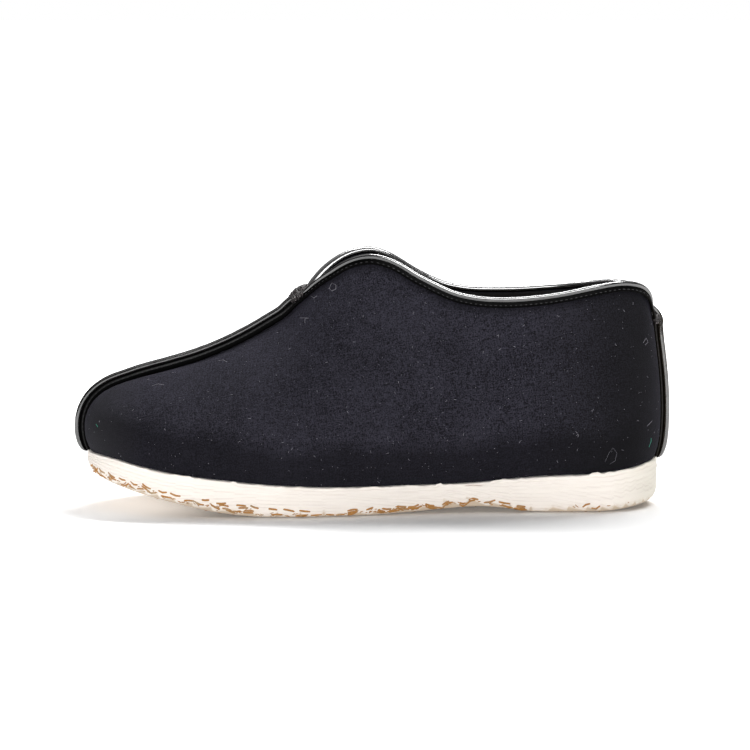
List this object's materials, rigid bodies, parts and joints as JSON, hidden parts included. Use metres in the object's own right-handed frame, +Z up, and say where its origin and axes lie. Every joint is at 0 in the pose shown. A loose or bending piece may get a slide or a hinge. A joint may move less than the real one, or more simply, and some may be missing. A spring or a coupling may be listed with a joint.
{
  "type": "chinese cloth shoe",
  "caption": "Padded black cotton ankle-low slip-on shoe with a raised leather-bound front seam and a thick quilted white layered cloth sole.",
  "frame": {"origin": "on the floor, under the middle of the shoe's length and width", "axes": "+X towards the heel, -X towards the toe, -Y towards the medial (big toe) side, +Z up"},
  "size_m": [0.2717, 0.0979, 0.1159],
  "materials": {
    "sole_cotton": "layers of pasted white cotton cloth, quilted through with brown hemp thread",
    "insole_cotton": "plain woven undyed cotton",
    "black_cotton": "dense napped black cotton cloth over padding",
    "black_leather": "thin glossy black leather, rolled and stitched",
    "black_thread": "wound black cotton thread"
  },
  "bodies": {
    "root": {"sole": "sole_cotton", "insole": "insole_cotton", "upper": "black_cotton", "front_piping_medial": "black_leather", "front_piping_lateral": "black_leather", "collar_binding_medial": "black_leather", "collar_binding_lateral": "black_leather", "heel_piping_medial": "black_leather", "heel_piping_lateral": "black_leather", "front_tack": "black_thread", "heel_tack": "black_thread"}
  },
  "joints": []
}
